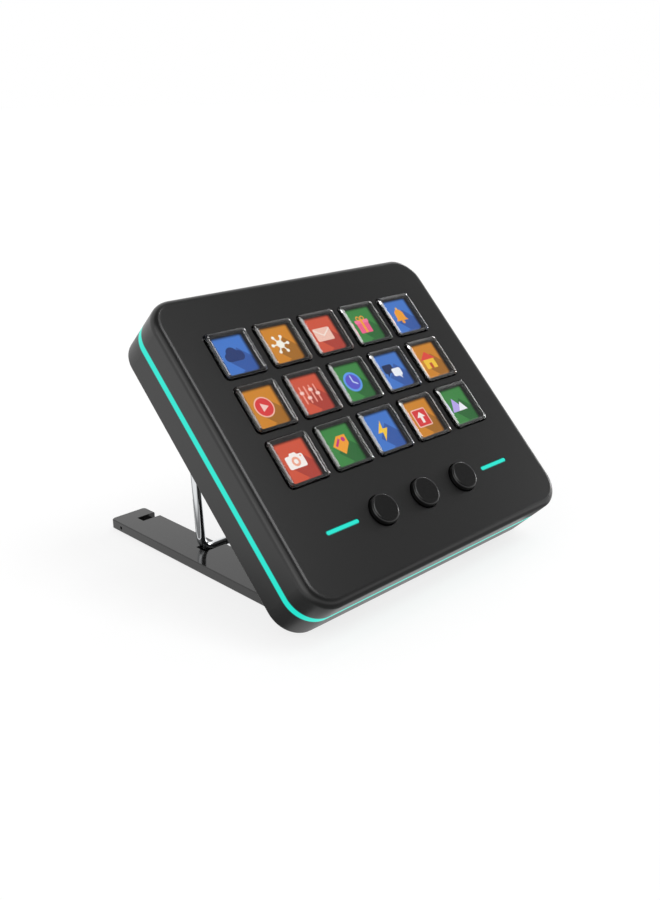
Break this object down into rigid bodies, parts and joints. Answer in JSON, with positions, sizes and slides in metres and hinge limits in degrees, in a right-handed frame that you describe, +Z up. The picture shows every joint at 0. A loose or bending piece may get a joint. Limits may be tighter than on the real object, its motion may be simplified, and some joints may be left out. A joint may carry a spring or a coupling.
{
  "type": "stream controller",
  "caption": "Desk stream controller: clear display keys and round buttons on a slim sloping housing with a light band, held up by a flat stand plate and a folding wire prop.",
  "frame": {"origin": "middle of the bounding box on the desk surface under the anti-slip pads", "axes": "+X to the right across the keys, +Y to the rear, +Z up; the panel leans back 45 degrees from the desk"},
  "size_m": [0.12, 0.1188, 0.0902],
  "materials": {
    "shell_plastic": "fine matte moulded texture",
    "stand_plastic": "smooth glossy moulding",
    "button_plastic": "smooth",
    "clear_cap": "clear polished moulding",
    "light_band": "translucent diffuser, lit cyan",
    "chromed_wire": "polished",
    "key_rubber": "matte",
    "circuit_board": "solder mask",
    "display_glass": "polished",
    "backlight_plastic": "satin diffuser",
    "tray_steel": "plain sheet",
    "chip_plastic": "moulded epoxy",
    "connector_plastic": "moulded",
    "flex_film": "polyimide film",
    "led_plastic": "moulded lens",
    "socket_steel": "nickel plated",
    "bearing_plastic": "moulded",
    "pin_steel": "ground",
    "pad_rubber": "matte",
    "screw_steel": "black coating"
  },
  "bodies": {
    "stand": {"stand_plate": "stand_plastic", "plate_pads": "pad_rubber"},
    "housing": {"bar_lights": "led_plastic", "bearing_screws": "screw_steel", "board_chips": "chip_plastic", "board_screws": "screw_steel", "button_board": "circuit_board", "contact_board": "circuit_board", "front_shell": "shell_plastic", "hinge_pin_left": "pin_steel", "hinge_pin_right": "pin_steel", "housing_screws": "screw_steel", "key_membrane": "key_rubber", "lcd_backlight": "backlight_plastic", "lcd_glass": "display_glass", "lcd_ribbon": "flex_film", "lcd_tray": "tray_steel", "light_bar_left": "light_band", "light_bar_right": "light_band", "main_board": "circuit_board", "panel_screws": "screw_steel", "prop_bearing_left": "bearing_plastic", "prop_bearing_right": "bearing_plastic", "rear_shell": "shell_plastic", "ribbon_connector": "connector_plastic", "ring_light_strip": "flex_film", "ring_lights": "led_plastic", "side_light_band": "light_band", "tact_switches": "chip_plastic", "usb_socket": "socket_steel"},
    "prop": {"prop_wire": "chromed_wire"},
    "key_11": {"key_cap_11": "clear_cap"},
    "key_12": {"key_cap_12": "clear_cap"},
    "key_13": {"key_cap_13": "clear_cap"},
    "key_14": {"key_cap_14": "clear_cap"},
    "key_15": {"key_cap_15": "clear_cap"},
    "key_21": {"key_cap_21": "clear_cap"},
    "key_22": {"key_cap_22": "clear_cap"},
    "key_23": {"key_cap_23": "clear_cap"},
    "key_24": {"key_cap_24": "clear_cap"},
    "key_25": {"key_cap_25": "clear_cap"},
    "key_31": {"key_cap_31": "clear_cap"},
    "key_32": {"key_cap_32": "clear_cap"},
    "key_33": {"key_cap_33": "clear_cap"},
    "key_34": {"key_cap_34": "clear_cap"},
    "key_35": {"key_cap_35": "clear_cap"},
    "left_button": {"button_left": "button_plastic", "switch_plunger_left": "connector_plastic"},
    "middle_button": {"button_middle": "button_plastic", "switch_plunger_middle": "connector_plastic"},
    "right_button": {"button_right": "button_plastic", "switch_plunger_right": "connector_plastic"}
  },
  "joints": [
    {"name": "housing_tilt", "type": "hinge", "parent": "stand", "child": "housing", "pos_m": [0, -0.04278, 0.0041], "axis": [1, 0, 0], "range_deg": [0, 45]},
    {"name": "prop_fold", "type": "hinge", "parent": "housing", "child": "prop", "pos_m": [0, 0.02164, 0.07205], "axis": [1, 0, 0], "range_deg": [-41, 0]},
    {"name": "key_11_press", "type": "slide", "parent": "housing", "child": "key_11", "axis": [0, 0.7071, -0.7071], "range_m": [0, 0.0008], "stiffness_N_per_m": 500, "springref_m": -0.0004},
    {"name": "key_12_press", "type": "slide", "parent": "housing", "child": "key_12", "axis": [0, 0.7071, -0.7071], "range_m": [0, 0.0008], "stiffness_N_per_m": 500, "springref_m": -0.0004},
    {"name": "key_13_press", "type": "slide", "parent": "housing", "child": "key_13", "axis": [0, 0.7071, -0.7071], "range_m": [0, 0.0008], "stiffness_N_per_m": 500, "springref_m": -0.0004},
    {"name": "key_14_press", "type": "slide", "parent": "housing", "child": "key_14", "axis": [0, 0.7071, -0.7071], "range_m": [0, 0.0008], "stiffness_N_per_m": 500, "springref_m": -0.0004},
    {"name": "key_15_press", "type": "slide", "parent": "housing", "child": "key_15", "axis": [0, 0.7071, -0.7071], "range_m": [0, 0.0008], "stiffness_N_per_m": 500, "springref_m": -0.0004},
    {"name": "key_21_press", "type": "slide", "parent": "housing", "child": "key_21", "axis": [0, 0.7071, -0.7071], "range_m": [0, 0.0008], "stiffness_N_per_m": 500, "springref_m": -0.0004},
    {"name": "key_22_press", "type": "slide", "parent": "housing", "child": "key_22", "axis": [0, 0.7071, -0.7071], "range_m": [0, 0.0008], "stiffness_N_per_m": 500, "springref_m": -0.0004},
    {"name": "key_23_press", "type": "slide", "parent": "housing", "child": "key_23", "axis": [0, 0.7071, -0.7071], "range_m": [0, 0.0008], "stiffness_N_per_m": 500, "springref_m": -0.0004},
    {"name": "key_24_press", "type": "slide", "parent": "housing", "child": "key_24", "axis": [0, 0.7071, -0.7071], "range_m": [0, 0.0008], "stiffness_N_per_m": 500, "springref_m": -0.0004},
    {"name": "key_25_press", "type": "slide", "parent": "housing", "child": "key_25", "axis": [0, 0.7071, -0.7071], "range_m": [0, 0.0008], "stiffness_N_per_m": 500, "springref_m": -0.0004},
    {"name": "key_31_press", "type": "slide", "parent": "housing", "child": "key_31", "axis": [0, 0.7071, -0.7071], "range_m": [0, 0.0008], "stiffness_N_per_m": 500, "springref_m": -0.0004},
    {"name": "key_32_press", "type": "slide", "parent": "housing", "child": "key_32", "axis": [0, 0.7071, -0.7071], "range_m": [0, 0.0008], "stiffness_N_per_m": 500, "springref_m": -0.0004},
    {"name": "key_33_press", "type": "slide", "parent": "housing", "child": "key_33", "axis": [0, 0.7071, -0.7071], "range_m": [0, 0.0008], "stiffness_N_per_m": 500, "springref_m": -0.0004},
    {"name": "key_34_press", "type": "slide", "parent": "housing", "child": "key_34", "axis": [0, 0.7071, -0.7071], "range_m": [0, 0.0008], "stiffness_N_per_m": 500, "springref_m": -0.0004},
    {"name": "key_35_press", "type": "slide", "parent": "housing", "child": "key_35", "axis": [0, 0.7071, -0.7071], "range_m": [0, 0.0008], "stiffness_N_per_m": 500, "springref_m": -0.0004},
    {"name": "left_button_press", "type": "slide", "parent": "housing", "child": "left_button", "axis": [0, 0.7071, -0.7071], "range_m": [0, 0.0006], "stiffness_N_per_m": 1500, "springref_m": -0.0003},
    {"name": "middle_button_press", "type": "slide", "parent": "housing", "child": "middle_button", "axis": [0, 0.7071, -0.7071], "range_m": [0, 0.0006], "stiffness_N_per_m": 1500, "springref_m": -0.0003},
    {"name": "right_button_press", "type": "slide", "parent": "housing", "child": "right_button", "axis": [0, 0.7071, -0.7071], "range_m": [0, 0.0006], "stiffness_N_per_m": 1500, "springref_m": -0.0003}
  ],
  "couplings": [
    {"joint": "prop_fold", "follows": "housing_tilt", "ratio": -0.90929}
  ]
}
